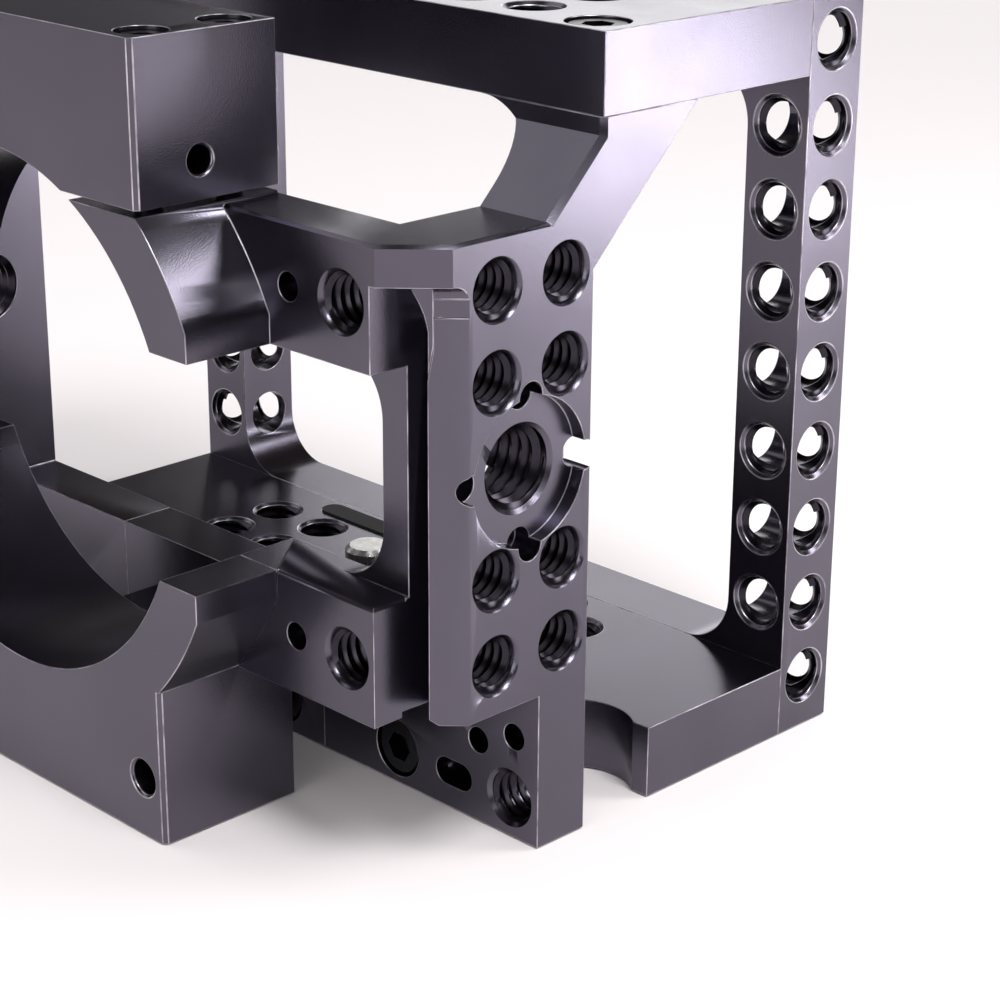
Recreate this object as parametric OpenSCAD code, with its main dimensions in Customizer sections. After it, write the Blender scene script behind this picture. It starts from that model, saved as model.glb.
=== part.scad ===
// Camera cage for a small box camera with a split lens-adapter support.
// +X is the right side seen from the lens, the lens looks along -Y, +Z is up.
// Origin: centre of the footprint, on the underside of the base.

/* [Overall] */
// Width of the cage over both side faces
cage_w = 114; // [108:1:140]
// Height of the cage from underside to top
cage_h = 92; // [91:1:120]
// Height of the lens axis above the underside
axis_z = 46; // [45:0.5:52]
// Clear depth of the camera bay, front wall to rear frame
bay_d = 35.6; // [34:0.2:70]

/* [Plates] */
// Thickness of the base plate
base_t = 9; // [8.6:0.1:12]
// Thickness of the top plate
top_t = 9; // [8:0.5:10]
// Thickness of the front wall
wall_t = 7.6; // [7:0.2:10]
// Width of the side frame's foot, from the side face inwards
foot_w = 37; // [36:0.5:38]
// Thickness of the rear frame, front to back
rear_t = 9.3; // [9:0.1:12]
// Width of the rear frame's posts and rails
rear_post = 9; // [8.5:0.1:12]
// Corner radius of the rear window
window_r = 7; // [3:0.5:12]

/* [Side bar] */
// Thickness of the side bar and the gusset above it
bar_t = 10.5; // [10:0.1:12]
// How far the nose of the rail stands in front of the bar
nose_out = 3.2; // [2.6:0.1:3.6]
// How far the bar's front between the arms lies behind the nose
front_back = 0.4; // [0.2:0.1:1]
// Leg of the 45 degree chamfer on the nose
nose_c = 3; // [2:0.1:3.4]
// Height of the cap that closes the rail groove on top
cap_h = 4.5; // [3:0.5:5.5]
// Leg of the cap's 45 degree corner
cap_corner = 5.6; // [5:0.1:6]
// Radius of the fillet under the cap
cap_fillet = 1.5; // [0.8:0.1:1.5]
// Radius of the cutter that ends the rail groove
groove_end_r = 11; // [9:0.5:14]
// Chamfer along the top outer edge of the arm and the cap
top_c = 0.4; // [0.3:0.1:1]
// Setback of the upper front face behind the front wall
strut_set = 8.75; // [7:0.25:10]
// Setback of the strut's foot behind the front wall
strut_step = 0.75; // [0.25:0.05:1.5]
// Drop of the gusset's rear edge below the bar top
gusset_drop = 6.2; // [4:0.1:9]
// Radius of the inner corner between gusset and top plate
gusset_r = 8; // [5:0.5:14]
// Bevel on the outer edge of the strut
strut_bevel = 0.65; // [0.4:0.05:1.4]

/* [Arms] */
// Thickness of the arms, front to back
arm_t = 8; // [7:0.2:9]
// Height of each arm
arm_h = 14; // [12:0.5:15]
// Clear height between the upper and lower arm
arm_open = 26; // [24:0.5:27]
// Distance from the side face to the end of the arms
arm_end = 6.5; // [6.2:0.1:6.8]
// Radius of the inner corners beside the arms
arm_fillet = 7; // [4:0.5:7.5]
// Chamfer along the top edge of the lower arm
arm_c = 0.4; // [0.2:0.1:0.6]

/* [Lens support] */
// Depth of the lens support, front to back
support_d = 19.3; // [17:0.1:24]
// Gap between the lens support and the front wall
support_gap = 10.8; // [8:0.2:16]
// Width of the support's straight columns
column_w = 54; // [52:0.5:56]
// Radius of the opening for the adapter
adapter_r = 31; // [29.5:0.1:32]
// Outer radius of the support ring
ring_r = 38.15; // [37.6:0.05:39.5]
// Width over the flats of the ring
ring_w = 69; // [67.5:0.5:71]
// Height of the seats under the bridge
seat_h = 0.25; // [0.1:0.05:0.5]
// Clamping gap under the bridge
clamp_gap = 0.7; // [0.4:0.1:1.2]
// Chamfer on the upright front edges of the support
column_c = 0.5; // [0.3:0.1:1]
// Width of the saddle's foot that meets the front plate
saddle_foot_w = 16; // [15:0.5:17]

/* [Threaded holes] */
// Radius of a 1/4-20 thread at its root
quarter_r = 3.175; // [3.1:0.005:3.25]
// Radius of a 3/8-16 thread at its root
three_eighths_r = 4.7625; // [4.7:0.0125:4.85]
// Height of the lowest row of holes in the rear frame
row_first = 6.7; // [6:0.1:8]
// Pitch between neighbouring accessory holes
pitch = 10; // [9.8:0.1:10.4]
// Depth of the edge countersink on threaded holes
csk = 0.45; // [0.2:0.05:0.6]
// Depth of the blind threads in the side bar
bar_thread = 6.5; // [5:0.1:6.6]
// Depth of the blind side threads at the lower and the upper end of the rear rows
end_thread = [9.5, 9]; // [7:0.5:9.5]
// Depth of the blind threads that open to the back at the ends of the rear rows
back_thread = 3.2; // [2:0.1:4]
// Depth of the threads in the arms
arm_thread = 6; // [4:0.1:6.2]
// Radius of the small tapped and pin holes
small_r = 1.6; // [1.2:0.05:1.8]
// Radius of the recess round the 3/8-16 hole
recess_r = 8.5; // [7.5:0.1:8.6]
// Depth of the recess round the 3/8-16 hole
recess_d = 1.8; // [1:0.1:2.5]
// Radius of the anti-twist pin holes
pin_hole_r = 1.7; // [1.2:0.05:1.9]

/* [Captive camera screw] */
// Travel of the screw each way from the middle
screw_travel = 5; // [3:0.5:5.5]
// Radius of the screw head
head_r = 6; // [5:0.1:6.2]
// Thickness of the screw head
head_t = 2.6; // [2.2:0.1:2.8]
// Length of thread that stands above the base
screw_out = 5.5; // [4:0.5:8]
// Diameter of the folding ring's wire
wire_d = 1.4; // [1.2:0.05:1.5]
// Depth of the pocket under the base
pocket_d = 5.6; // [5.4:0.1:5.8]
// Depth of the channel on the base for the clip
channel_d = 1.2; // [1:0.1:1.4]

/* [Fasteners] */
// Radius of the M4 screw shanks
m4_r = 2; // [1.9:0.05:2.1]
// Radius of the M4 socket heads
m4_head_r = 3.5; // [3.3:0.05:3.6]
// Height of the M4 socket heads
m4_head_h = 4; // [3.4:0.1:4.2]
// Radius of the M3 screw shanks
m3_r = 1.5; // [1.4:0.05:1.6]
// Radius of the M3 socket heads
m3_head_r = 2.75; // [2.6:0.05:2.9]
// Height of the M3 socket heads
m3_head_h = 3; // [2.6:0.1:3.2]
// Radius of the dowel pins
dowel_r = 1.5; // [1.2:0.05:1.8]
// Length of the dowel pins
dowel_l = 8; // [6:0.5:8]
// Distance from the front plate's seam out to the plate dowels
dowel_off = 7; // [6.5:0.1:8]
// Engagement of the M4 screws in their threads
m4_grip = 9; // [6:0.5:10]
// Engagement of the top plate's screws in the gussets
gusset_grip = 6; // [4:0.5:7]
// Engagement of the M3 screws in the arms and the saddle's foot
m3_grip = 7; // [5:0.5:8]
// Engagement of the bridge screws in the bosses
bridge_grip = 4.4; // [4:0.1:5]

/* [Hidden] */
$fn = 64;
eps = 0.01;

// Depth stations, front to back
y_front = -(support_d + support_gap + wall_t + bay_d + rear_t) / 2;
y_col = y_front + support_d;      // back of the lens support and of the arms
y_arm = y_col - arm_t;            // front of the arms
y_wall = y_col + support_gap;     // face of the front wall
y_bay = y_wall + wall_t;          // back of the front wall
y_rear = y_bay + bay_d;           // front of the rear frame
y_back = y_rear + rear_t;         // back of the cage

// Side stations
x_side = cage_w / 2;
x_bar = x_side - bar_t;
x_arm_end = x_side - arm_end;
x_foot = x_side - foot_w;
x_col = column_w / 2;

// Tip and root of the rail groove behind the nose
tip = [x_side - nose_c, y_col - nose_out];
root = [x_arm_end, tip[1] + tip[0] - x_arm_end];
y_strip = tip[1] + front_back;    // bar's front between the arms

// Heights
z_top = cage_h - top_t;
arm_in = arm_open / 2;
arm_out = arm_in + arm_h;
z_bar_top = axis_z + arm_out;
z_bar_bot = axis_z - arm_out;
z_cap = z_bar_top - cap_h;
z_gusset = z_bar_top - gusset_drop;
z_seat = z_bar_top + seat_h;
z_bridge = z_seat + clamp_gap;
bridge_top = 2 * axis_z;
foot_top = axis_z - adapter_r - 0.4;   // just under the adapter bore

// Foot and head of the sloped strut in the side view, the head below the top plate
strut_rise = min(strut_set - strut_step, z_top - z_bar_top - 1);
strut_foot = [y_wall + strut_step, z_bar_top];
strut_head = strut_foot + [strut_rise, strut_rise];

// Accessory holes on the side bar
hole_y1 = y_col + 4;                       // front column
hole_y2 = hole_y1 + pitch + 0.2;           // rear column
boss_y = (hole_y1 + hole_y2) / 2;          // 3/8-16 hole between them
bar_rows = [1.115 * pitch, 2.115 * pitch]; // heights above and below the lens axis
pin_circle = recess_r;
arm_hole_z = arm_in + arm_h / 2;
arm_quarter_x = x_side - 10.9;
arm_small_x = x_side - 19.3;

// Rows of holes on the rear frame
rear_rows = [for (z = [row_first:pitch:cage_h - 5]) z];
rear_y = (y_rear + y_back) / 2;
rear_x = x_side - rear_post / 2;

// Captive screw
screw_y = (y_bay + y_rear) / 2;
web_z = pocket_d;
channel_z = base_t - channel_d;
flange_t = 0.8;
run_gap = 0.3;
flange_z = web_z - run_gap - flange_t;
slider_r = 4.1;
slot_half = slider_r + 0.1;
shank_r = quarter_r;
head_top = flange_z - run_gap;
head_z = head_top - head_t;
ring_z = head_z + head_t / 2;
ring_x = head_r + 0.4 + wire_d / 2;
ring_y = 1.5;
pocket_r = ring_y + ring_x + wire_d / 2 + 0.4;
ring_seat = 2.6;                  // depth of the ring's holes in the screw head
clip_z = channel_z + run_gap;
clip_t = 0.7;
neck_r = 2.4;
clip_r = 4.7;
channel_half = clip_r + 1.3;

// Rubber strips and hole rows of the base
pad_x = 26;
pad_t = 1;
pad_sunk = 0.7;
base_row = 0.9 * pitch;

// Side notches in the base
notch_w = 11;
notch_r = 7;
notch_x = x_side - 6.8;
notch_y = y_bay + notch_w / 2;

// Small features of the front wall
wall_quarter = [x_side - 4.6, 4.8];
wall_slot = [x_side - 13.8, 4.5];
wall_small = [[x_side - 9.7, 10.3], [x_side - 3.9, 12.7]];

// Small tapped hole in each end of the bridge
bridge_hole = [(y_front + y_col) / 2 - 1, axis_z + 32.2];

// Fastener places
screw_fit = 0.25;                           // clearance round a shank
base_mid = base_t / 2;
top_mid = cage_h - top_t / 2;
base_front_x = [x_foot - 8, x_side - 23.6];
base_rear_x = [13.5, x_side - 17];
top_rear_x = [pitch, 4 * pitch];
gusset_screw_x = x_side - bar_t / 2;
gusset_screw_y = strut_head[0] + m4_head_r + 0.9;
bridge_screw_x = x_col - 3.4;
bridge_screw_y = [y_front + 4.2, y_col - 4.2];
arm_screw_x = x_col + 3.2;
arm_screw_z = axis_z - 18.5;
foot_screw_x = 4.6;
foot_screw_z = base_t + m3_head_r + 0.5;
dowel_x = x_foot + dowel_off;
cross_dowel_z = [5, 14];
small_fit = 0.02;

// ---- helpers -------------------------------------------------------------

// Turns +Z to one of the six directions
function turn(dir) = dir == "x" ? [0, 90, 0] : dir == "-x" ? [0, -90, 0]
    : dir == "y" ? [-90, 0, 0] : dir == "-y" ? [90, 0, 0]
    : dir == "-z" ? [180, 0, 0] : [0, 0, 0];

// A (y, z) outline extruded between two x values
module along_x(x0, x1) {
    translate([x0, 0, 0]) rotate([90, 0, 90]) linear_extrude(x1 - x0) children();
}

// An (x, z) outline extruded between two y values
module along_y(y0, y1) {
    translate([0, y1, 0]) rotate([90, 0, 0]) linear_extrude(y1 - y0) children();
}

// An (x, y) outline extruded between two z values
module along_z(z0, z1) {
    translate([0, 0, z0]) linear_extrude(z1 - z0) children();
}

// A box from one corner to the other
module block(a, b) {
    translate(a) cube(b - a);
}

// A drilled hole: mouth at p, dir points out of the mouth
module drill(p, dir, r, depth, edge = 0) {
    translate(p) rotate(turn(dir)) {
        translate([0, 0, -depth]) cylinder(r = r, h = depth + 1);
        if (edge > 0) translate([0, 0, -edge]) cylinder(r1 = r, r2 = r + edge + eps, h = edge + eps);
    }
}

// A 1/4-20 hole with its countersink
module quarter(p, dir, depth) {
    drill(p, dir, quarter_r, depth, csk);
}

// A hole with a countersink at both mouths
module through(p, dir, r, length) {
    drill(p, dir, r, length + 1, csk);
    translate(p) rotate(turn(dir)) translate([0, 0, -length - eps])
        cylinder(r1 = r + csk + eps, r2 = r, h = csk + eps);
}

// A 3/8-16 hole in a round recess with four anti-twist pin holes
module three_eighths(p, dir, depth) {
    drill(p, dir, recess_r, recess_d);
    drill(p, dir, three_eighths_r, depth);
    translate(p) rotate(turn(dir)) {
        translate([0, 0, -recess_d - csk])
            cylinder(r1 = three_eighths_r, r2 = three_eighths_r + csk + eps, h = csk + eps);
        for (a = [0:90:270]) rotate(a) translate([pin_circle, 0, -4])
            cylinder(r = pin_hole_r, h = 5);
    }
}

// A socket-head screw: the head's bearing face at p, the head towards dir
module socket_screw(p, dir, r, head_r, head_h, length) {
    key = r * 0.95;
    translate(p) rotate(turn(dir)) difference() {
        union() {
            cylinder(r = head_r, h = head_h - 0.3);
            translate([0, 0, head_h - 0.3]) cylinder(r1 = head_r, r2 = head_r - 0.3, h = 0.3);
            translate([0, 0, -length]) cylinder(r = r, h = length + eps);
        }
        translate([0, 0, head_h * 0.45]) cylinder(r = key, h = head_h, $fn = 6);
    }
}

// The hole for such a screw: clearance to the joint plane, then thread
module screw_hole(p, dir, r, head_r, head_h, clear, length) {
    drill(p, dir, head_r + 0.2, 0);
    translate(p) rotate(turn(dir)) {
        cylinder(r = head_r + 0.2, h = head_h + 10);
        translate([0, 0, -clear]) cylinder(r = r + screw_fit, h = clear + 1);
        translate([0, 0, -length - 0.5]) cylinder(r = r + small_fit, h = length + 1);
    }
}

// A bevel of leg c on the top edge from p to q, the open side on the right
module top_bevel(p, q, z, c, before = 0, after = 0) {
    d = q - p;
    translate([p[0], p[1], z]) rotate([0, 0, atan2(d[1], d[0])])
        along_x(-before, norm(d) + after) polygon([[c + eps, eps], [-eps, -c - eps], [-eps, eps]]);
}

// A bevel of leg c on the upright corner at p, the part behind and inside it
module corner_bevel(p, z0, z1, c) {
    for (s = [-1, 1]) along_z(z0, z1)
        polygon([[s * (p[0] - c - eps), p[1] - eps], [s * (p[0] + eps), p[1] - eps],
            [s * (p[0] + eps), p[1] + c + eps]]);
}

// A rectangle with round corners, centred on c
module round_rect(c, w, h, r) {
    translate(c) {
        square([w - 2 * r, h], center = true);
        square([w, h - 2 * r], center = true);
        for (i = [-1, 1], j = [-1, 1]) translate([i * (w / 2 - r), j * (h / 2 - r)]) circle(r);
    }
}

// A slot between two points, centred on c, along the first axis
module round_slot(c, length, w) {
    translate(c) {
        square([length - w, w], center = true);
        for (i = [-1, 1]) translate([i * (length - w) / 2, 0]) circle(w / 2);
    }
}

// Both signs of x
module both_sides() {
    children();
    mirror([1, 0, 0]) children();
}

// ---- base ----------------------------------------------------------------

module base_outline() {
    difference() {
        translate([-x_side, y_bay]) square([cage_w, bay_d]);
        for (s = [-1, 1]) {
            translate([s * (notch_x + 10), notch_y]) square([20, notch_w], center = true);
            translate([s * notch_x, notch_y]) circle(notch_r);
        }
    }
}

module base_plate() {
    color([0.12, 0.11, 0.12]) difference() {
        along_z(0, base_t) base_outline();
        // slot, pocket and clip channel of the captive screw
        along_z(-1, base_t + 1) translate([0, screw_y]) rotate(90)
            round_slot([0, 0], 2 * (screw_travel + slot_half), 2 * slot_half);
        along_z(-1, pocket_d) translate([0, screw_y]) rotate(90)
            round_slot([0, 0], 2 * (screw_travel + pocket_r), 2 * pocket_r);
        along_z(channel_z, base_t + 1) translate([0, screw_y]) rotate(90)
            round_slot([0, 0], 2 * (screw_travel + channel_half), 2 * channel_half);
        // accessory holes on both sides of the screw
        for (s = [-1, 1], i = [2:3], j = [-1:1]) if (i < 3 || j >= 0)
            through([s * i * pitch, screw_y + j * base_row, base_t], "z", quarter_r, base_t);
        pad_grooves();
        base_screw_holes();
        base_dowel_holes();
    }
}

// ---- rubber strips on the base -------------------------------------------

module pad_strips() {
    for (y = [y_bay + 3, y_rear - 3]) round_slot([0, y], 2 * pad_x, 3.4);
}

module pad_grooves() {
    along_z(base_t - pad_sunk, base_t + 1) pad_strips();
}

module camera_pads() {
    color([0.05, 0.05, 0.05]) along_z(base_t - pad_sunk, base_t - pad_sunk + pad_t) pad_strips();
}

// ---- rear frame ----------------------------------------------------------

module rear_frame() {
    window_w = cage_w - 2 * rear_post;
    window_h = z_top - base_t;
    color([0.12, 0.11, 0.12]) difference() {
        block([-x_side, y_rear, 0], [x_side, y_back, cage_h]);
        along_y(y_rear - 1, y_back + 1)
            round_rect([0, base_t + window_h / 2], window_w, window_h, window_r);
        for (z = rear_rows, s = [-1, 1]) {
            side = s > 0 ? "x" : "-x";
            if (z > base_t + quarter_r && z < z_top - quarter_r) {
                quarter([s * x_side, rear_y, z], side, rear_post + 0.5);
                through([s * rear_x, y_rear, z], "-y", quarter_r, rear_t);
            } else {
                quarter([s * x_side, rear_y, z], side, end_thread[z > axis_z ? 1 : 0]);
                quarter([s * rear_x, y_back, z], "y", back_thread);
            }
        }
        base_screw_holes();
        base_dowel_holes();
        top_rear_holes();
        top_dowel_holes();
    }
}

// ---- side frame: bar, arms, upper boss, gusset and foot in one piece --------

// Side view (y, z) of the bar, the foot below it and the gusset above it
module side_outline() {
    polygon([[y_wall, 0], [y_bay, 0], [y_bay, z_gusset],
        [y_bay + z_top - z_gusset, z_top], [strut_head[0], z_top], strut_head, strut_foot,
        [y_col, z_bar_top], [y_col, z_bar_bot], [y_wall, z_bar_bot]]);
}

// Plan view of the bar's front with the nose; grow deepens the nose chamfer
module nose_outline(grow = 0) {
    polygon([[x_side, y_col + 1], [x_side, tip[1] + nose_c + grow], [tip[0] - grow, tip[1]],
        [x_arm_end + eps, tip[1]], [x_arm_end + eps, y_strip], [x_bar, y_strip],
        [x_bar, y_col + 1]]);
}

// Plan view of the cap that closes the rail groove on top
module cap_outline() {
    polygon([[x_col, y_arm], [x_side - cap_corner, y_arm], [x_side, y_arm + cap_corner],
        [x_side, y_col + 1], [x_bar, y_col + 1], [x_bar, y_col], [x_col, y_col]]);
}

// Local frame of the rail groove: x across the nose, y into the part
module at_tip() {
    translate([tip[0], tip[1], 0]) rotate([0, 0, 45]) children();
}

// V groove between the arm ends and the 45 degree back of the nose
module rail_groove() {
    relief = 0.6;
    depth = 1.5;
    difference() {
        along_z(z_bar_bot - 1, z_cap)
            polygon([root, tip, [tip[0], y_arm - 1], [x_arm_end, y_arm - 1]]);
        // round end left by the cutter below the cap
        at_tip() along_y(depth, 12) difference() {
            translate([-4, z_cap - 7]) square([5, 8]);
            translate([0.1 - groove_end_r, z_cap - 7]) circle(groove_end_r, $fn = 96);
        }
    }
    // relief in the edge of the nose, with a small corner radius on top
    at_tip() along_y(-1, depth) {
        translate([-3, z_cap - 7]) square([3 + relief, 7 - relief]);
        translate([-3, z_cap - 1]) square([3, 1]);
        translate([0, z_cap - relief]) circle(relief);
        polygon([[-3, z_cap - 11], [0, z_cap - 10.4], [relief, z_cap - 7], [-3, z_cap - 7]]);
    }
    // lead-in at the lower end
    at_tip() along_y(-3, 12) polygon([[-3, z_bar_bot - 1], [2.2, z_bar_bot - 0.7],
        [0, z_bar_bot + 0.7], [-3, z_bar_bot + 0.7]]);
}

// Concave fillet between the nose and the underside of the cap
module ledge_fillet() {
    intersection() {
        at_tip() along_x(0, 8) difference() {
            translate([-cap_fillet, z_cap - cap_fillet]) square([cap_fillet + 1, cap_fillet + eps]);
            translate([-cap_fillet, z_cap - cap_fillet]) circle(cap_fillet);
        }
        along_z(z_bar_bot, z_bar_top) cap_outline();
    }
}

// Round inner corners of the window between the arms
module arm_corner(dir) {
    z0 = axis_z + dir * arm_in;
    along_y(y_strip, y_col) difference() {
        translate([x_bar - arm_fillet, min(z0 - dir * arm_fillet, z0 + dir)])
            square([arm_fillet + 1, arm_fillet + 1]);
        translate([x_bar - arm_fillet, z0 - dir * arm_fillet]) circle(arm_fillet);
    }
}

// Gusset that widens into the top plate with a large inner radius
module gusset_wing() {
    intersection() {
        along_x(x_bar - gusset_r, x_bar + 1) side_outline();
        along_y(y_col, y_rear) translate([x_bar - gusset_r, z_top - gusset_r]) difference() {
            square([gusset_r + 1, gusset_r]);
            circle(gusset_r, $fn = 96);
        }
    }
}

// The part of the support ring between two heights, front view
module ring_part(z0, z1) {
    difference() {
        intersection() {
            translate([0, axis_z]) circle(ring_r, $fn = 160);
            translate([-ring_w / 2, z0]) square([ring_w, z1 - z0]);
        }
        translate([0, axis_z]) circle(adapter_r, $fn = 160);
    }
}

// The bore for the lens adapter, cut through bosses, arms and saddle
module adapter_bore() {
    along_y(y_front - 1, y_col + 1) translate([0, axis_z]) circle(adapter_r, $fn = 160);
}

// Bevel along an outer edge from p to q in the side view, material on its right
module edge_bevel(p, q, c, before = 0, after = 0) {
    run = norm(q - p);
    translate([x_side, p[0], p[1]]) rotate([atan2(q[1] - p[1], q[0] - p[0]), 0, 0])
        rotate([-90, 0, 0]) translate([0, 0, -before]) linear_extrude(run + before + after)
            polygon([[-c - eps, -eps], [1, c + 1 + eps], [1, -eps]]);
}

// Bevels along a path of outer edges, c wide on each, that meet in mitres
module bevel_path(path, c) {
    for (i = [0:len(c) - 1]) edge_bevel(path[i], path[i + 1], c[i]);
    for (i = [1:len(c) - 1]) intersection() {
        edge_bevel(path[i - 1], path[i], c[i - 1], 0, 1);
        edge_bevel(path[i], path[i + 1], c[i], 1, 0);
    }
}

module side_frame() {
    cap_a = [x_side - cap_corner, y_arm];
    cap_b = [x_side, y_arm + cap_corner];
    difference() {
        union() {
            along_x(x_bar, x_side) side_outline();
            block([x_foot, y_wall, 0], [x_bar + 1, y_bay, z_bar_bot]);
            gusset_wing();
            along_z(z_bar_bot, z_cap - 3.5) nose_outline();
            along_z(z_cap - 3.5, z_cap) nose_outline(0.15);
            along_z(z_cap, z_bar_top) cap_outline();
            ledge_fillet();
            for (dir = [-1, 1]) {
                block([x_col, y_arm, axis_z + min(dir * arm_in, dir * arm_out)],
                    [x_arm_end, y_col, axis_z + max(dir * arm_in, dir * arm_out)]);
                arm_corner(dir);
            }
            // upper boss of the lens support with the raised seat of the bridge
            along_y(y_front, y_arm + 1) half_front() ring_part(axis_z + arm_in, z_bar_top);
            along_y(y_arm, y_col) intersection() {
                half_front() ring_part(axis_z + arm_in, z_bar_top);
                translate([0, axis_z]) square([x_col + eps, ring_w]);
            }
            along_y(y_front, y_col) intersection() {
                half_front() ring_part(z_bar_top - 1, z_seat);
                translate([0, axis_z]) square([x_col, ring_w]);
            }
        }
        rail_groove();
        adapter_bore();
        // chamfers on the upper outer edges
        top_bevel([x_col, y_arm], cap_a, z_bar_top, top_c, 0, 1);
        top_bevel(cap_a, cap_b, z_bar_top, top_c, 1, 1);
        top_bevel(cap_b, [x_side, strut_foot[0]], z_bar_top, top_c, 1, 0);
        top_bevel([ring_w / 2, y_arm], [x_arm_end, y_arm], axis_z - arm_in, arm_c, 0, 1);
        top_bevel([x_arm_end, y_arm], [x_arm_end, tip[1]], axis_z - arm_in, arm_c, 1, 0);
        // accessory holes of the bar
        for (y = [hole_y1, hole_y2], row = bar_rows, dir = [-1, 1])
            quarter([x_side, y, axis_z + dir * row], "x", bar_thread);
        three_eighths([x_side, boss_y, axis_z], "x", bar_t + 1);
        // holes in the arms
        for (dir = [-1, 1]) {
            quarter([arm_quarter_x, y_arm, axis_z + dir * arm_hole_z], "-y", arm_thread);
            drill([arm_small_x, y_arm, axis_z + dir * arm_hole_z], "-y", small_r, arm_t + 1);
        }
        // holes in the foot
        through([wall_quarter[0], y_wall, wall_quarter[1]], "-y", quarter_r, wall_t);
        along_y(y_wall - 1, y_bay + 1) round_slot(wall_slot, 6, 3.4);
        for (p = wall_small) drill([p[0], y_wall, p[1]], "-y", small_r, 5);
        bevel_path([[cap_b[1], z_bar_top], strut_foot, strut_head, [strut_head[0], z_top]],
            [top_c, strut_bevel, strut_bevel]);
        base_screw_holes();
        base_dowel_holes();
        gusset_screw_holes();
        bridge_screw_holes();
        arm_screw_holes();
        cross_dowel_holes();
    }
}

// The right half of a front view
module half_front() {
    intersection() {
        children();
        square([cage_w, 4 * cage_h]);
    }
}

module side_frame_right() {
    color([0.13, 0.12, 0.13]) side_frame();
}

module side_frame_left() {
    color([0.13, 0.12, 0.13]) mirror([1, 0, 0]) side_frame();
}

module front_crossplate() {
    color([0.13, 0.12, 0.13]) difference() {
        block([-x_foot, y_wall, 0], [x_foot, y_bay, z_bar_bot]);
        base_screw_holes();
        foot_screw_holes();
        cross_dowel_holes();
    }
}

// ---- top -----------------------------------------------------------------

module top_plate() {
    color([0.12, 0.11, 0.12]) difference() {
        block([-x_side, strut_head[0], z_top], [x_side, y_rear, cage_h]);
        for (i = [-4:4], j = [-1:1]) if (norm([i, j]) > 1.3 && (j < 1 || i % 3 != 1 && i % 3 != -1))
            through([i * pitch, screw_y + j * pitch, cage_h], "z", quarter_r, top_t);
        three_eighths([0, screw_y, cage_h], "z", top_t + 1);
        gusset_screw_holes();
        top_rear_holes();
        top_dowel_holes();
    }
}

// ---- lens support --------------------------------------------------------

module lens_saddle() {
    color([0.14, 0.12, 0.13]) difference() {
        union() {
            along_y(y_front, y_arm) {
                ring_part(z_bar_bot, axis_z - arm_in);
                translate([-x_col, 0]) square([column_w, z_bar_bot + 1]);
            }
            block([-x_col, y_arm - 1, 0], [x_col, y_col, axis_z - arm_in]);
            block([-saddle_foot_w / 2, y_col - 1, 0], [saddle_foot_w / 2, y_wall, foot_top]);
        }
        adapter_bore();
        for (s = [-1, 1])
            drill([s * (x_col - 3.7), y_front, 7.3], "-y", 2.1, 12, 0.3);
        corner_bevel([x_col, y_front], -1, z_bar_bot, column_c);
        arm_screw_holes();
        foot_screw_holes();
    }
}

module lens_bridge() {
    color([0.14, 0.12, 0.13]) difference() {
        along_y(y_front, y_col) difference() {
            translate([-x_col, z_bridge]) square([column_w, bridge_top - z_bridge]);
            translate([0, axis_z]) circle(adapter_r, $fn = 160);
        }
        for (s = [-1, 1])
            drill([s * x_col, bridge_hole[0], bridge_hole[1]], s > 0 ? "x" : "-x", small_r, 8, 0.25);
        corner_bevel([x_col, y_front], z_bridge - 1, bridge_top + 1, column_c);
        bridge_screw_holes();
    }
}

// ---- fasteners -----------------------------------------------------------

bridge_head_z = bridge_top - m3_head_h - 0.5;
bridge_screw_l = bridge_head_z - z_bar_top + bridge_grip;

module bridge_screw_holes() {
    for (s = [-1, 1], y = bridge_screw_y)
        screw_hole([s * bridge_screw_x, y, bridge_head_z], "z", m3_r, m3_head_r, m3_head_h,
            bridge_head_z - z_seat, bridge_screw_l);
}

module bridge_screws() {
    color([0.25, 0.25, 0.26]) for (s = [-1, 1], y = bridge_screw_y)
        socket_screw([s * bridge_screw_x, y, bridge_head_z], "z", m3_r, m3_head_r, m3_head_h,
            bridge_screw_l);
}

arm_head_y = y_col - m3_head_h - 0.3;
arm_screw_l = arm_head_y - y_arm + m3_grip;

module arm_screw_holes() {
    for (s = [-1, 1])
        screw_hole([s * arm_screw_x, arm_head_y, arm_screw_z], "y", m3_r, m3_head_r, m3_head_h,
            arm_head_y - y_arm, arm_screw_l);
}

module saddle_arm_screws() {
    color([0.25, 0.25, 0.26]) for (s = [-1, 1])
        socket_screw([s * arm_screw_x, arm_head_y, arm_screw_z], "y", m3_r, m3_head_r,
            m3_head_h, arm_screw_l);
}

foot_head_y = y_bay - m3_head_h - 0.3;
foot_screw_l = foot_head_y - y_wall + m3_grip;

module foot_screw_holes() {
    for (s = [-1, 1])
        screw_hole([s * foot_screw_x, foot_head_y, foot_screw_z], "y", m3_r, m3_head_r,
            m3_head_h, foot_head_y - y_wall, foot_screw_l);
}

module saddle_foot_screws() {
    color([0.25, 0.25, 0.26]) for (s = [-1, 1])
        socket_screw([s * foot_screw_x, foot_head_y, foot_screw_z], "y", m3_r, m3_head_r,
            m3_head_h, foot_screw_l);
}

base_head_y = y_wall + m4_head_h + 0.3;
base_screw_l = y_bay - base_head_y + m4_grip;
rear_head_y = y_back - m4_head_h - 0.3;
rear_screw_l = rear_head_y - y_rear + m4_grip;

module base_screw_holes() {
    for (s = [-1, 1]) {
        for (x = base_front_x)
            screw_hole([s * x, base_head_y, base_mid], "-y", m4_r, m4_head_r, m4_head_h,
                y_bay - base_head_y, base_screw_l);
        for (x = base_rear_x)
            screw_hole([s * x, rear_head_y, base_mid], "y", m4_r, m4_head_r, m4_head_h,
                rear_head_y - y_rear, rear_screw_l);
    }
}

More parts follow.
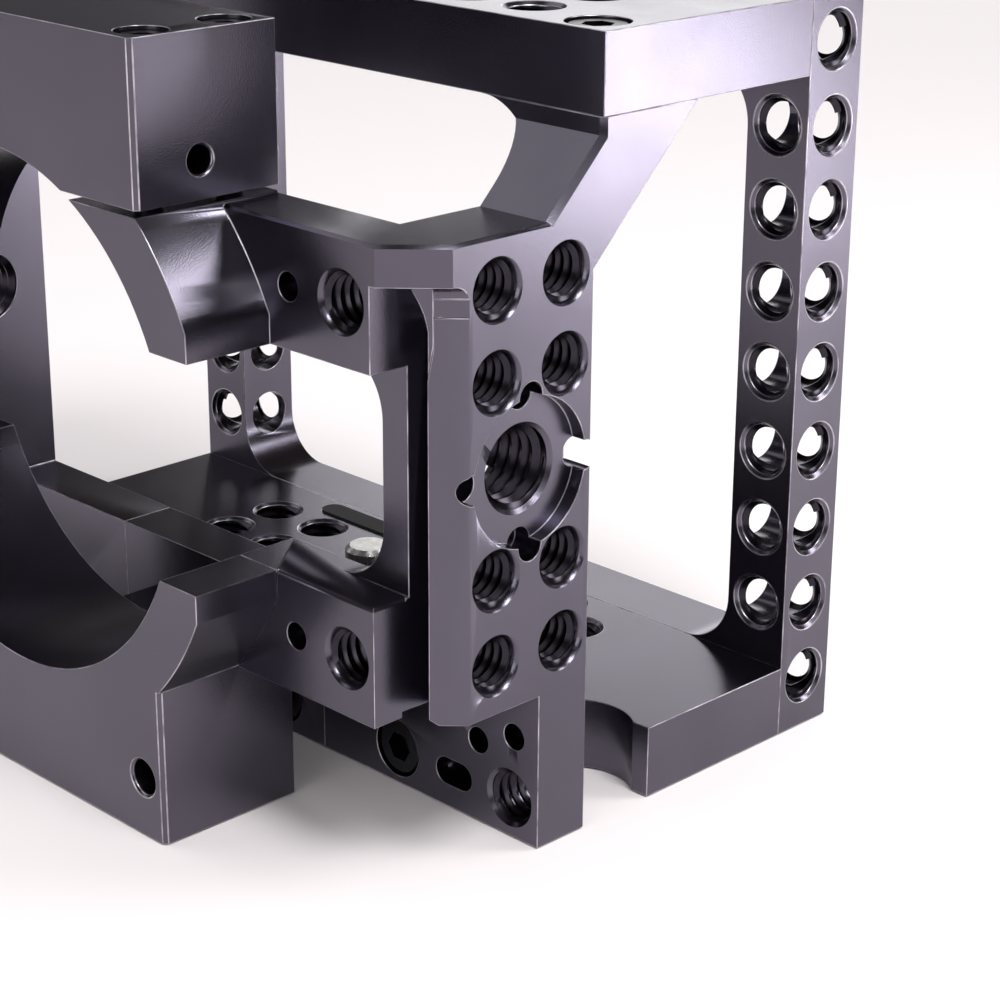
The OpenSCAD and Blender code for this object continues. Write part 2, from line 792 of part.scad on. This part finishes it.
module base_front_screws() {
    color([0.25, 0.25, 0.26]) for (s = [-1, 1], x = base_front_x)
        socket_screw([s * x, base_head_y, base_mid], "-y", m4_r, m4_head_r, m4_head_h,
            base_screw_l);
}

module base_rear_screws() {
    color([0.25, 0.25, 0.26]) for (s = [-1, 1], x = base_rear_x)
        socket_screw([s * x, rear_head_y, base_mid], "y", m4_r, m4_head_r, m4_head_h,
            rear_screw_l);
}

module top_rear_holes() {
    for (s = [-1, 1], x = top_rear_x)
        screw_hole([s * x, rear_head_y, top_mid], "y", m4_r, m4_head_r, m4_head_h,
            rear_head_y - y_rear, rear_screw_l);
}

module top_rear_screws() {
    color([0.25, 0.25, 0.26]) for (s = [-1, 1], x = top_rear_x)
        socket_screw([s * x, rear_head_y, top_mid], "y", m4_r, m4_head_r, m4_head_h,
            rear_screw_l);
}

gusset_head_z = cage_h - m4_head_h - 0.3;
gusset_screw_l = gusset_head_z - z_top + gusset_grip;

module gusset_screw_holes() {
    for (s = [-1, 1])
        screw_hole([s * gusset_screw_x, gusset_screw_y, gusset_head_z], "z", m4_r, m4_head_r,
            m4_head_h, gusset_head_z - z_top, gusset_screw_l);
}

module top_gusset_screws() {
    color([0.25, 0.25, 0.26]) for (s = [-1, 1])
        socket_screw([s * gusset_screw_x, gusset_screw_y, gusset_head_z], "z", m4_r, m4_head_r,
            m4_head_h, gusset_screw_l);
}

// A dowel pin along dir, centred on p; fit widens it into its hole
module dowel(p, dir, fit) {
    translate(p) rotate(turn(dir)) cylinder(r = dowel_r + fit, h = dowel_l + 4 * fit, center = true);
}

module base_dowel_places(fit) {
    for (s = [-1, 1], y = [y_bay, y_rear])
        dowel([s * dowel_x, y, base_mid], "y", fit);
}

module base_dowel_holes() {
    base_dowel_places(small_fit);
}

module base_dowels() {
    color([0.6, 0.6, 0.62]) base_dowel_places(0);
}

module top_dowel_places(fit) {
    for (s = [-1, 1]) dowel([s * dowel_x, y_rear, top_mid], "y", fit);
}

module top_dowel_holes() {
    top_dowel_places(small_fit);
}

module top_dowels() {
    color([0.6, 0.6, 0.62]) top_dowel_places(0);
}

module cross_dowel_places(fit) {
    for (s = [-1, 1], z = cross_dowel_z)
        dowel([s * x_foot, (y_wall + y_bay) / 2, z], "x", fit);
}

module cross_dowel_holes() {
    cross_dowel_places(small_fit);
}

module crossplate_dowels() {
    color([0.6, 0.6, 0.62]) cross_dowel_places(0);
}

// ---- captive camera screw --------------------------------------------------

// Flanged bush that runs in the slot and carries the screw
module screw_slider() {
    color([0.72, 0.6, 0.3]) translate([0, screw_y, 0]) difference() {
        union() {
            translate([0, 0, flange_z]) cylinder(r = slider_r + 1.6, h = flange_t);
            translate([0, 0, flange_z]) cylinder(r = slider_r, h = clip_z - run_gap - flange_z);
        }
        translate([0, 0, flange_z - 1]) cylinder(r = shank_r + 0.06, h = base_t);
    }
}

module camera_screw() {
    top = base_t + screw_out;
    color([0.55, 0.55, 0.57]) translate([0, screw_y, 0]) difference() {
        union() {
            translate([0, 0, head_z]) cylinder(r = head_r, h = head_t);
            translate([0, 0, head_top - eps]) cylinder(r = shank_r, h = clip_z - head_top + eps);
            translate([0, 0, clip_z - eps]) cylinder(r = neck_r, h = clip_t + 2 * eps);
            translate([0, 0, clip_z + clip_t]) cylinder(r = shank_r, h = top - 0.6 - clip_z - clip_t);
            translate([0, 0, top - 0.6]) cylinder(r1 = shank_r, r2 = shank_r - 0.6, h = 0.6);
        }
        for (s = [-1, 1]) translate([0, 0, ring_z]) rotate([0, s * 90, 0])
            translate([0, 0, head_r - ring_seat]) cylinder(r = wire_d / 2 + 0.05, h = 5);
        translate([-head_r - 1, -0.6, head_z - 1]) cube([2 * head_r + 2, 1.2, 1.5]);
    }
}

// Retaining clip in the neck of the screw
module screw_clip() {
    color([0.4, 0.4, 0.42]) translate([0, screw_y, clip_z]) difference() {
        cylinder(r = clip_r, h = clip_t);
        translate([0, 0, -1]) cylinder(r = neck_r, h = 3);
        translate([0, 3, 1]) cube([2 * neck_r * 0.86, 6, 4], center = true);
    }
}

// Folding D-ring: a bent wire whose ends turn in the screw head
module screw_ring() {
    color([0.6, 0.6, 0.62]) translate([0, screw_y, ring_z]) {
        for (s = [-1, 1]) {
            translate([s * (head_r - ring_seat + 0.4), 0, 0]) rotate([0, s * 90, 0])
                cylinder(r = wire_d / 2, h = ring_x - head_r + ring_seat - 0.4);
            translate([s * ring_x, 0, 0]) sphere(wire_d / 2, $fn = 32);
            translate([s * ring_x, 0, 0]) rotate([-90, 0, 0]) cylinder(r = wire_d / 2, h = ring_y);
        }
        translate([0, ring_y, 0]) rotate_extrude(angle = 180) translate([ring_x, 0])
            circle(wire_d / 2, $fn = 32);
    }
}

base_plate();
rear_frame();
side_frame_right();
side_frame_left();
front_crossplate();
top_plate();
lens_saddle();
lens_bridge();
bridge_screws();
saddle_arm_screws();
saddle_foot_screws();
base_front_screws();
base_rear_screws();
top_gusset_screws();
top_rear_screws();
base_dowels();
top_dowels();
crossplate_dowels();
camera_pads();
screw_slider();
camera_screw();
screw_clip();
screw_ring();
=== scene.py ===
import math

import bmesh
import bpy
from mathutils import Matrix, Vector


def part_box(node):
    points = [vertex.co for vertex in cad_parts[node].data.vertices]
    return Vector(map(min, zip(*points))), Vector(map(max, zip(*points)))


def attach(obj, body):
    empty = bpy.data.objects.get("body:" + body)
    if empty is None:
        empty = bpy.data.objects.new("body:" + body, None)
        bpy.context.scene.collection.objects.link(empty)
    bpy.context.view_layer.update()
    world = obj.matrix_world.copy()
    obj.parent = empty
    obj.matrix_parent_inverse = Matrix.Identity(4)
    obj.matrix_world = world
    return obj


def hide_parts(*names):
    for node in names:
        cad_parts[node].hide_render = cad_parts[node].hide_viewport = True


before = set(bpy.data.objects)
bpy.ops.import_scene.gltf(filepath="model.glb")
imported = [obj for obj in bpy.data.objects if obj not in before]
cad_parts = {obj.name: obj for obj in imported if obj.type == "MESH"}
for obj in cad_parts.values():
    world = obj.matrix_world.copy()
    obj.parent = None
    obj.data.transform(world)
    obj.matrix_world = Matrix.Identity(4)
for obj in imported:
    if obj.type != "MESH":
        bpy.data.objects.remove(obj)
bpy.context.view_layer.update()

# ---- Plates and frames -----------------------------------------------------
# The cage's plates, side frames and lens support. Each is milled from aluminium,
# bead blasted and anodised black; the cutters leave sharp edges that are broken by about
# a tenth of a millimetre and catch the light as fine bright lines; their bright colour is partly
# wear and partly a painted highlight.


def linear(hex_code):
    """An sRGB hex colour as linear RGBA."""
    channels = [int(hex_code[i:i + 2], 16) / 255 for i in (0, 2, 4)]
    return [c / 12.92 if c <= 0.04045 else ((c + 0.055) / 1.055) ** 2.4 for c in channels] + [1]


def add(tree, kind, settings=None, links=None, **values):
    """Adds a node, sets its properties and socket values, and links its inputs."""
    made = tree.nodes.new(kind)
    for key, value in (settings or {}).items():
        setattr(made, key, value)
    for key, value in values.items():
        made.inputs[key.replace("_", " ")].default_value = value
    for key, source in (links or {}).items():
        tree.links.new(source, made.inputs[key])
    return made


def new_material(name):
    """An empty node material with its output, and the object coordinates."""
    made = bpy.data.materials.new(name)
    made.use_nodes = True
    tree = made.node_tree
    tree.nodes.clear()
    return made, tree, add(tree, "ShaderNodeTexCoord").outputs["Object"]


# Bead-blasted black anodised aluminium: a deep violet black with a satin sheen, a
# fine grain, and slow changes of gloss where the dye and the blasting vary.
anodised, tree, place = new_material("bead_blasted_black_anodised_aluminium")
# the beads leave pits of about 0.12 mm, drawn at 0.2 mm to show
grain = add(tree, "ShaderNodeTexNoise", links={"Vector": place},
            Scale=5000.0, Detail=2.0, Roughness=0.6)
# the dye and the gloss drift over about 15 mm
clouds = add(tree, "ShaderNodeTexNoise", links={"Vector": place},
             Scale=70.0, Detail=3.0, Roughness=0.5)
tint = add(tree, "ShaderNodeValToRGB", links={"Fac": clouds.outputs["Fac"]})
tint.color_ramp.elements[0].color = linear("56535e")
tint.color_ramp.elements[1].color = linear("66626d")
gloss = add(tree, "ShaderNodeMapRange", links={"Value": clouds.outputs["Fac"]},
            From_Min=0.3, From_Max=0.7, To_Min=0.2, To_Max=0.27)
pits = add(tree, "ShaderNodeBump", links={"Height": grain.outputs["Fac"]},
           Strength=0.42, Distance=0.00003)
skin = add(tree, "ShaderNodeBsdfPrincipled", links={
    "Base Color": tint.outputs["Color"], "Roughness": gloss.outputs["Result"],
    "Normal": pits.outputs["Normal"]}, Metallic=1.0)
add(tree, "ShaderNodeOutputMaterial", links={"Surface": skin.outputs["BSDF"]})

# Where the edges are broken they are coloured bright: partly anodising worn thin by handling,
# partly a painted highlight for the light the edges catch.
worn_edge_and_painted_highlight, tree, place = new_material("worn_anodised_edge_painted_highlight")
# worn and painted-highlight patches a few millimetres long
wear_and_highlight_patches = add(tree, "ShaderNodeTexNoise", links={"Vector": place},
              Scale=260.0, Detail=3.0, Roughness=0.6)
bare_and_highlit_edge_colour = add(tree, "ShaderNodeValToRGB", links={"Fac": wear_and_highlight_patches.outputs["Fac"]})
bare_and_highlit_edge_colour.color_ramp.elements[0].position = 0.35
bare_and_highlit_edge_colour.color_ramp.elements[0].color = linear("77717c")
bare_and_highlit_edge_colour.color_ramp.elements[1].position = 0.65
bare_and_highlit_edge_colour.color_ramp.elements[1].color = linear("c2bdc6")
rim = add(tree, "ShaderNodeBsdfPrincipled", links={"Base Color": bare_and_highlit_edge_colour.outputs["Color"]},
          Metallic=1.0, Roughness=0.3)
add(tree, "ShaderNodeOutputMaterial", links={"Surface": rim.outputs["BSDF"]})

weld = 0.000004            # corners closer than this are one corner
flat = math.radians(1.5)   # faces that turn less than this are one face
crease = math.radians(30)  # edges that turn more than this look sharp
broken_edge = 0.0001
edge_turn = math.radians(35)
# the shallow edges of the side frames run out in the notches round their large
# hole and stay sharp
frame_edge_turn = math.radians(50)
for name in ("base_plate", "rear_frame", "side_frame_right", "side_frame_left", "front_crossplate",
             "top_plate", "lens_saddle", "lens_bridge"):
    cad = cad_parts[name]
    mesh = cad.data.copy()
    mesh.name = name + "_milled"
    bm = bmesh.new()
    bm.from_mesh(mesh)
    bmesh.ops.remove_doubles(bm, verts=bm.verts, dist=weld)
    bmesh.ops.dissolve_limit(bm, angle_limit=flat, verts=bm.verts, edges=bm.edges)
    bm.to_mesh(mesh)
    bm.free()
    mesh.shade_smooth()
    mesh.set_sharp_from_angle(angle=crease)
    mesh.materials.clear()
    mesh.materials.append(anodised)
    mesh.materials.append(worn_edge_and_painted_highlight)
    milled = bpy.data.objects.new(name + "_milled", mesh)
    bpy.context.scene.collection.objects.link(milled)
    edge = milled.modifiers.new("broken_edge", "BEVEL")
    edge.width = broken_edge
    edge.segments = 2
    # the bevel faces take the bright edge colour: partly worn anodising, partly painted highlight
    edge.material = 1
    edge.limit_method = "ANGLE"
    edge.angle_limit = frame_edge_turn if name.startswith("side_frame") else edge_turn
    # a limit set by the short sides of round holes would take the bevel off every edge
    edge.use_clamp_overlap = False
    edge.harden_normals = True
    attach(milled, "cage")
    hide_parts(name)

# ---- Cut threads -----------------------------------------------------------
# Threads tapped into the plates: 20 turns to the inch in the small holes and 16
# in the large ones. Each ridge runs round the wall of its hole and is cut back
# by the countersink at the mouth, so that its first turn fades in.
MM = 0.001
# painted shade: the thread flanks are coloured darker than the plates to stand for the shade
# inside the holes
tapped, tree, place = new_material("tapped_aluminium_painted_shade")
# the tap leaves smooth flanks; they are coloured darker than the plates as painted shade for the
# inside of the holes, in patches of about 1 mm
flank_shade_patches = add(tree, "ShaderNodeTexNoise", links={"Vector": place}, Scale=1000.0, Detail=2.0)
depth = add(tree, "ShaderNodeValToRGB", links={"Fac": flank_shade_patches.outputs["Fac"]})
depth.color_ramp.elements[0].color = linear("29262c")
depth.color_ramp.elements[1].color = linear("3c3840")
flank = add(tree, "ShaderNodeBsdfPrincipled", links={"Base Color": depth.outputs["Color"]},
            Metallic=1.0, Roughness=0.24)
add(tree, "ShaderNodeOutputMaterial", links={"Surface": flank.outputs["BSDF"]})


def thread_coil(root, crest, pitch, start, end):
    """A closed thread ridge for a hole along Z with its mouth at 0, between two depths."""
    buried = 0.06       # the ridge's foot stands this deep in the wall
    countersink = 0.45
    steps = 44          # round one turn
    turns = (end - start) / pitch
    middle, flat_crest = pitch / 2, pitch / 6
    outline = [(root + buried, 0.04 * pitch), (crest, middle - flat_crest / 2),
               (crest, middle + flat_crest / 2), (root + buried, 0.96 * pitch)]
    bm = bmesh.new()
    face = bm.faces.new([bm.verts.new((r, 0, -start - z + middle)) for r, z in outline])
    # sinking while it turns clockwise makes the thread right-handed
    bmesh.ops.spin(bm, geom=[face], cent=(0, 0, 0), axis=(0, 0, -1),
                   dvec=(0, 0, -pitch / steps), angle=2 * math.pi * turns,
                   steps=int(steps * turns), use_duplicate=False)
    for vert in bm.verts:
        radius = math.hypot(vert.co.x, vert.co.y)
        cone = min(root + buried, root + countersink + vert.co.z)
        vert.co.z = min(-start, max(-end, vert.co.z))
        if radius < cone:
            vert.co.x *= cone / radius
            vert.co.y *= cone / radius
    bmesh.ops.recalc_face_normals(bm, faces=bm.faces)
    coil = bpy.data.meshes.new("coil")
    bm.to_mesh(coil)
    bm.free()
    return coil


# millimetres, as the holes are drilled; each hole is (mouth, outward, depth of its thread)
quarter = {"root": 3.175, "crest": 2.62, "pitch": 1.27}
three_eighths = {"root": 4.7625, "crest": 4.05, "pitch": 1.5875}
lead_in = 0.5
base_face, side_face, arm_face, wall_face = 9, 57, -30, -11.2
top_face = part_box("top_plate")[1][2] / MM
recess = 1.8            # of the face round each large hole
grid_y = 14.2           # middle row of the holes in the base and the top plate
post_x, post_y, post_front, post_back = 52.5, 36.65, 32, 41.3
first_row, row_pitch = 6.7, 10
post_rows = [first_row + row_pitch * k for k in range(int(top_face / row_pitch))]
post_thread = 1.7
bar_holes, arm_holes, plate_holes, post_holes, large_holes = [], [], [], [], []
for side in (1, -1):
    for y in (-18.0, -7.8):
        for height in (57.15, 67.15, 34.85, 24.85):
            bar_holes.append(((side * side_face, y, height), (side, 0, 0), 6.4))
    for height in (66, 26):
        arm_holes.append(((side * 46.1, arm_face, height), (0, -1, 0), 5.9))
    arm_holes.append(((side * 52.4, wall_face, 4.8), (0, -1, 0), 7.1))
    large_holes.append(((side * (side_face - recess), -12.9, 46), (side, 0, 0), 8.6))
    for i, j in ((2, -1), (2, 0), (2, 1), (3, 0), (3, 1)):
        plate_holes.append(((side * 10 * i, grid_y + 9 * j, base_face), (0, 0, 1), 8.5))
    for i, j in ((1, -1), (2, -1), (3, -1), (4, -1), (2, 0), (3, 0), (4, 0), (2, 1), (3, 1)):
        plate_holes.append(((side * 10 * i, grid_y + 10 * j, top_face), (0, 0, 1), 8.5))
    for height in post_rows:
        post_holes.append(((side * side_face, post_y, height), (side, 0, 0), post_thread))
        post_holes.append(((side * post_x, post_back, height), (0, 1, 0), post_thread))
        # the holes of the end rows are blind and open to the back alone
        if height not in (post_rows[0], post_rows[-1]):
            post_holes.append(((side * post_x, post_front, height), (0, -1, 0), post_thread))
large_holes.append(((0, grid_y, top_face - recess), (0, 0, 1), 7.1))

for name, holes, thread in (
        ("bar_threads", bar_holes, quarter), ("arm_threads", arm_holes, quarter),
        ("plate_threads", plate_holes, quarter), ("post_threads", post_holes, quarter),
        ("large_threads", large_holes, three_eighths)):
    bm = bmesh.new()
    coils = {}
    for mouth, outward, depth_in in holes:
        if depth_in not in coils:
            coils[depth_in] = thread_coil(start=lead_in, end=depth_in, **thread)
        before = len(bm.verts)
        bm.from_mesh(coils[depth_in])
        bm.verts.ensure_lookup_table()
        turned = Vector(outward).to_track_quat("Z", "Y").to_matrix().to_4x4()
        place_in = Matrix.Translation(Vector(mouth) * MM) @ turned @ Matrix.Scale(MM, 4)
        bmesh.ops.transform(bm, matrix=place_in, verts=bm.verts[before:])
    mesh = bpy.data.meshes.new(name)
    bm.to_mesh(mesh)
    bm.free()
    mesh.shade_smooth()
    mesh.set_sharp_from_angle(angle=crease)
    mesh.materials.append(tapped)
    threads = bpy.data.objects.new(name, mesh)
    bpy.context.scene.collection.objects.link(threads)
    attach(threads, "cage")

# ---- Screws ----------------------------------------------------------------
# Socket-head screws that hold the plates together, and the clip of the camera
# screw. Alloy steel with a black oxide finish: darker and shinier than the cage.
oxide, tree, place = new_material("black_oxide_steel")
# the oxide's salt-and-oil mottling is about 0.5 mm wide
mottle = add(tree, "ShaderNodeTexNoise", links={"Vector": place},
             Scale=2000.0, Detail=3.0, Roughness=0.6)
shade = add(tree, "ShaderNodeValToRGB", links={"Fac": mottle.outputs["Fac"]})
shade.color_ramp.elements[0].color = linear("2b2b2e")
shade.color_ramp.elements[1].color = linear("3d3d41")
oil = add(tree, "ShaderNodeMapRange", links={"Value": mottle.outputs["Fac"]},
          To_Min=0.24, To_Max=0.4)
steel = add(tree, "ShaderNodeBsdfPrincipled", links={
    "Base Color": shade.outputs["Color"], "Roughness": oil.outputs["Result"]}, Metallic=1.0)
add(tree, "ShaderNodeOutputMaterial", links={"Surface": steel.outputs["BSDF"]})
for name in ("bridge_screws", "saddle_arm_screws", "saddle_foot_screws", "base_front_screws",
             "base_rear_screws", "top_gusset_screws", "top_rear_screws", "screw_clip"):
    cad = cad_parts[name]
    cad.data.materials.clear()
    cad.data.materials.append(oxide)

# ---- Dowels, camera screw and ring -----------------------------------------
# Ground dowel pins, and the captive camera screw with its folding wire ring.
# Bright stainless steel with the fine rings that turning and grinding leave.
stainless, tree, place = new_material("turned_stainless_steel")
# turning marks 0.1 mm apart, drawn at 0.25 mm to show
marks = add(tree, "ShaderNodeTexWave", {"bands_direction": "Z"}, {"Vector": place}, Scale=640.0,
            Distortion=0.6, Detail=1.0)
ridge = add(tree, "ShaderNodeBump", links={"Height": marks.outputs["Fac"]},
            Strength=0.08, Distance=0.00002)
wear = add(tree, "ShaderNodeTexNoise", links={"Vector": place}, Scale=900.0, Detail=2.0)
polish = add(tree, "ShaderNodeMapRange", links={"Value": wear.outputs["Fac"]},
             To_Min=0.2, To_Max=0.36)
bright = add(tree, "ShaderNodeBsdfPrincipled", links={
    "Roughness": polish.outputs["Result"], "Normal": ridge.outputs["Normal"]},
    Metallic=1.0, Base_Color=linear("bcbbb8"))
add(tree, "ShaderNodeOutputMaterial", links={"Surface": bright.outputs["BSDF"]})
for name in ("base_dowels", "top_dowels", "crossplate_dowels", "camera_screw", "screw_ring"):
    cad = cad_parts[name]
    cad.data.materials.clear()
    cad.data.materials.append(stainless)

# ---- Slider ----------------------------------------------------------------
# Flanged bush that runs in the slot of the base and lets the screw turn. Turned
# from brass, a little dull where it rubs.
brass, tree, place = new_material("turned_brass")
tarnish = add(tree, "ShaderNodeTexNoise", links={"Vector": place}, Scale=700.0, Detail=3.0)
patina = add(tree, "ShaderNodeValToRGB", links={"Fac": tarnish.outputs["Fac"]})
patina.color_ramp.elements[0].color = linear("9b8048")
patina.color_ramp.elements[1].color = linear("c8ab68")
rubbed = add(tree, "ShaderNodeMapRange", links={"Value": tarnish.outputs["Fac"]},
             To_Min=0.28, To_Max=0.45)
bush = add(tree, "ShaderNodeBsdfPrincipled", links={
    "Base Color": patina.outputs["Color"], "Roughness": rubbed.outputs["Result"]}, Metallic=1.0)
add(tree, "ShaderNodeOutputMaterial", links={"Surface": bush.outputs["BSDF"]})
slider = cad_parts["screw_slider"]
slider.data.materials.clear()
slider.data.materials.append(brass)

# ---- Rubber strips ---------------------------------------------------------
# Two strips let into the base under the camera. Moulded nitrile rubber with a
# fine moulded grain, matt and dusty grey at a glance.
rubber, tree, place = new_material("moulded_nitrile_rubber")
moulding = add(tree, "ShaderNodeTexNoise", links={"Vector": place}, Scale=3000.0, Detail=2.0)
stipple = add(tree, "ShaderNodeBump", links={"Height": moulding.outputs["Fac"]},
              Strength=0.4, Distance=0.00003)
dust = add(tree, "ShaderNodeValToRGB", links={"Fac": moulding.outputs["Fac"]})
dust.color_ramp.elements[0].color = linear("1d1d1e")
dust.color_ramp.elements[1].color = linear("2c2c2d")
strip = add(tree, "ShaderNodeBsdfPrincipled", links={
    "Base Color": dust.outputs["Color"], "Normal": stipple.outputs["Normal"]},
    Roughness=0.75, IOR=1.5)
add(tree, "ShaderNodeOutputMaterial", links={"Surface": strip.outputs["BSDF"]})
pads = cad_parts["camera_pads"]
pads.data.materials.clear()
pads.data.materials.append(rubber)

# ---- Floor, light and camera -----------------------------------------------
# A pale table in a room with shaded walls, soft boxes and small lamps round it,
# and the camera. None of it is part of the cage.
table, tree = new_material("pale_table")[:2]
cloth = add(tree, "ShaderNodeBsdfPrincipled", Base_Color=linear("efe9ea"), Roughness=0.9)
add(tree, "ShaderNodeOutputMaterial", links={"Surface": cloth.outputs["BSDF"]})
bm = bmesh.new()
bmesh.ops.create_circle(bm, cap_ends=True, segments=96, radius=4.0)
mesh = bpy.data.meshes.new("floor")
bm.to_mesh(mesh)
bm.free()
mesh.materials.append(table)
floor = bpy.data.objects.new("floor", mesh)
floor.location.z = -0.0002  # a hair under the base, so that the two never share a face
bpy.context.scene.collection.objects.link(floor)

world = bpy.data.worlds.new("white_room")
bpy.context.scene.world = world
world.use_nodes = True
tree = world.node_tree
tree.nodes.clear()
path = add(tree, "ShaderNodeLightPath")
# the camera, glass and gloss see the room at full strength; what it sheds on matt
# surfaces is weaker, so that the floor keeps the shadow
through_glass = add(tree, "ShaderNodeMath", {"operation": "MAXIMUM"})
tree.links.new(path.outputs["Is Camera Ray"], through_glass.inputs[0])
tree.links.new(path.outputs["Is Transmission Ray"], through_glass.inputs[1])
looked_at = add(tree, "ShaderNodeMath", {"operation": "MAXIMUM"})
tree.links.new(through_glass.outputs[0], looked_at.inputs[0])
tree.links.new(path.outputs["Is Glossy Ray"], looked_at.inputs[1])
level = add(tree, "ShaderNodeMapRange", links={"Value": looked_at.outputs[0]},
            To_Min=0.45, To_Max=1.0)
# the metal mirrors grey walls and a dim warm ceiling; everything else sees white
sky = add(tree, "ShaderNodeTexCoord")
height = add(tree, "ShaderNodeSeparateXYZ", links={"Vector": sky.outputs["Generated"]})
shaded_room = add(tree, "ShaderNodeValToRGB", links={"Fac": height.outputs["Z"]})
shaded_room.color_ramp.elements[0].position = 0.1
shaded_room.color_ramp.elements[0].color = linear("5e5e64")
shaded_room.color_ramp.elements[1].position = 0.42
shaded_room.color_ramp.elements[1].color = linear("4e4642")
backdrop = add(tree, "ShaderNodeMix", {"data_type": "RGBA"},
               {"Factor": path.outputs["Is Glossy Ray"]})
backdrop.inputs[6].default_value = (1, 1, 1, 1)
tree.links.new(shaded_room.outputs["Color"], backdrop.inputs[7])
room = add(tree, "ShaderNodeBackground", links={
    "Color": backdrop.outputs[2], "Strength": level.outputs["Result"]})
add(tree, "ShaderNodeOutputWorld", links={"Surface": room.outputs["Background"]})

for name, where, aim, size, power in (
        ("soft_box_front", (0.21, -1.17, 0.22), (0, 0, 0.05), 0.84, 5.5),
        ("soft_box_rear", (-0.6, 1.03, 0.22), (0, 0, 0.05), 0.84, 4.0),
        ("soft_box_right", (0.82, -0.22, 0.9), (0, 0, 0.05), 1.1, 3.0),
        ("soft_box_left", (-0.82, -0.22, 0.9), (0, 0, 0.05), 1.1, 4.0),
        ("table_lamp", (0.26, 0.24, 0.3), (0.2, 0.18, 0), 0.15, 0.7),
        ("ceiling_lamp", (0.5, -0.1, 0.8), (0.12, 0, 0), 0.3, 4.5),
        ("small_lamp", (0.25, 0.217, 0.031), (0.057, 0, 0.07), 0.05, 0.14)):
    lamp = bpy.data.lights.new(name, "AREA")
    lamp.size = size
    lamp.energy = power
    light = bpy.data.objects.new(name, lamp)
    light.visible_camera = False
    light.location = where
    light.rotation_euler = (Vector(where) - Vector(aim)).to_track_quat("Z", "Y").to_euler()
    bpy.context.scene.collection.objects.link(light)

camera_place = (0.2310265, -0.1901323, 0.1342702)
yaw, pitch, roll = 0.789471999, 0.352718538, 0.00607114
ahead = Vector((-math.sin(yaw) * math.cos(pitch), math.cos(yaw) * math.cos(pitch),
                -math.sin(pitch)))
level_right = Vector((math.cos(yaw), math.sin(yaw), 0))
level_up = level_right.cross(ahead)
right = math.cos(roll) * level_right + math.sin(roll) * level_up
up = math.cos(roll) * level_up - math.sin(roll) * level_right
view = bpy.data.cameras.new("camera")
view.sensor_width = 36
view.lens = 88.386
view.clip_start = 0.01
camera = bpy.data.objects.new("camera", view)
camera.matrix_world = Matrix.Translation(camera_place) @ Matrix(
    (right, up, -ahead)).transposed().to_4x4()
bpy.context.scene.collection.objects.link(camera)
bpy.context.scene.camera = camera

bpy.context.scene.view_settings.view_transform = "Standard"
